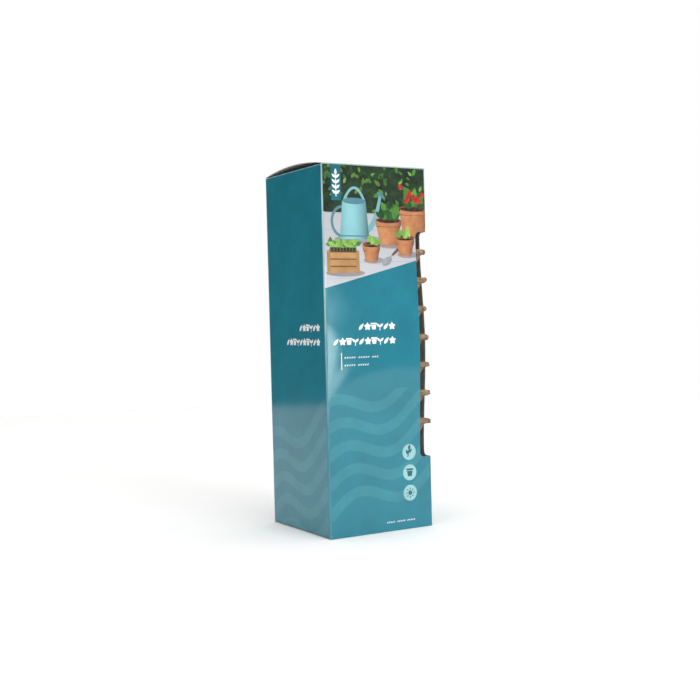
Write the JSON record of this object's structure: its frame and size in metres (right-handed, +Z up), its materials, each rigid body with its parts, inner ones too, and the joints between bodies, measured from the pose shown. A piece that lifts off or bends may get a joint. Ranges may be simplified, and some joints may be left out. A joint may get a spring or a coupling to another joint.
{
  "type": "boxed stack of square plant pots",
  "caption": "Tall square folding carton with a corner window, arched tuck-in lid and a nested stack of square fibre plant pots that lift out.",
  "frame": {"origin": "middle of the carton floor, on the surface that it stands on", "axes": "+Z up along the stack, the printed front faces -Y, the window is at the corner of -Y and +X"},
  "size_m": [0.0871, 0.0868, 0.2575],
  "materials": {
    "printed_board": "teal print under gloss laminate on white carton board",
    "plain_board": "uncoated white carton board",
    "pot_fibre": "rough pressed brown fibre"
  },
  "bodies": {
    "carton": {"front_panel": "printed_board", "right_panel": "printed_board", "back_panel": "printed_board", "left_panel": "printed_board", "glue_flap": "plain_board"},
    "lid": {"lid_panel": "printed_board"},
    "lid_tuck": {"lid_tuck_flap": "plain_board"},
    "top_dust_left": {"top_dust_flap_left": "plain_board"},
    "top_dust_right": {"top_dust_flap_right": "plain_board"},
    "bottom": {"bottom_panel": "printed_board"},
    "bottom_tuck": {"bottom_tuck_flap": "plain_board"},
    "bottom_dust_left": {"bottom_dust_flap_left": "plain_board"},
    "bottom_dust_right": {"bottom_dust_flap_right": "plain_board"},
    "pot_1": {"pot_1": "pot_fibre"},
    "pot_2": {"pot_2": "pot_fibre"},
    "pot_3": {"pot_3": "pot_fibre"},
    "pot_4": {"pot_4": "pot_fibre"},
    "pot_5": {"pot_5": "pot_fibre"},
    "pot_6": {"pot_6": "pot_fibre"},
    "pot_7": {"pot_7": "pot_fibre"},
    "pot_8": {"pot_8": "pot_fibre"},
    "pot_9": {"pot_9": "pot_fibre"}
  },
  "joints": [
    {"name": "lid_hinge", "type": "hinge", "parent": "carton", "child": "lid", "pos_m": [0, -0.042, 0.2536], "axis": [1, 0, 0], "range_deg": [0, 170]},
    {"name": "lid_tuck_hinge", "type": "hinge", "parent": "lid", "child": "lid_tuck", "pos_m": [0, 0.0413, 0.2536], "axis": [-1, 0, 0], "range_deg": [0, 40]},
    {"name": "top_dust_left_hinge", "type": "hinge", "parent": "carton", "child": "top_dust_left", "pos_m": [-0.0416, 0, 0.2533], "axis": [0, -1, 0], "range_deg": [0, 102]},
    {"name": "top_dust_right_hinge", "type": "hinge", "parent": "carton", "child": "top_dust_right", "pos_m": [0.0416, 0, 0.2533], "axis": [0, 1, 0], "range_deg": [0, 102]},
    {"name": "bottom_hinge", "type": "hinge", "parent": "carton", "child": "bottom", "pos_m": [0, 0.0416, 0], "axis": [1, 0, 0], "range_deg": [0, 170]},
    {"name": "bottom_tuck_hinge", "type": "hinge", "parent": "bottom", "child": "bottom_tuck", "pos_m": [0, -0.0413, 0.0004], "axis": [-1, 0, 0], "range_deg": [0, 35]},
    {"name": "bottom_dust_left_hinge", "type": "hinge", "parent": "carton", "child": "bottom_dust_left", "pos_m": [-0.0416, 0, 0.0007], "axis": [0, 1, 0], "range_deg": [0, 102]},
    {"name": "bottom_dust_right_hinge", "type": "hinge", "parent": "carton", "child": "bottom_dust_right", "pos_m": [0.0416, 0, 0.0007], "axis": [0, -1, 0], "range_deg": [0, 102]},
    {"name": "pot_1_lift", "type": "slide", "parent": "carton", "child": "pot_1", "axis": [0, 0, 1], "range_m": [0, 0.014]},
    {"name": "pot_2_lift", "type": "slide", "parent": "pot_1", "child": "pot_2", "axis": [0, 0, 1], "range_m": [0, 0.014]},
    {"name": "pot_3_lift", "type": "slide", "parent": "pot_2", "child": "pot_3", "axis": [0, 0, 1], "range_m": [0, 0.014]},
    {"name": "pot_4_lift", "type": "slide", "parent": "pot_3", "child": "pot_4", "axis": [0, 0, 1], "range_m": [0, 0.014]},
    {"name": "pot_5_lift", "type": "slide", "parent": "pot_4", "child": "pot_5", "axis": [0, 0, 1], "range_m": [0, 0.014]},
    {"name": "pot_6_lift", "type": "slide", "parent": "pot_5", "child": "pot_6", "axis": [0, 0, 1], "range_m": [0, 0.014]},
    {"name": "pot_7_lift", "type": "slide", "parent": "pot_6", "child": "pot_7", "axis": [0, 0, 1], "range_m": [0, 0.014]},
    {"name": "pot_8_lift", "type": "slide", "parent": "pot_7", "child": "pot_8", "axis": [0, 0, 1], "range_m": [0, 0.014]},
    {"name": "pot_9_lift", "type": "slide", "parent": "pot_8", "child": "pot_9", "axis": [0, 0, 1], "range_m": [0, 0.014]}
  ],
  "couplings": [
    {"joint": "top_dust_left_hinge", "follows": "lid_hinge", "ratio": 0.6},
    {"joint": "top_dust_right_hinge", "follows": "lid_hinge", "ratio": 0.6},
    {"joint": "bottom_dust_left_hinge", "follows": "bottom_hinge", "ratio": 0.6},
    {"joint": "bottom_dust_right_hinge", "follows": "bottom_hinge", "ratio": 0.6}
  ]
}
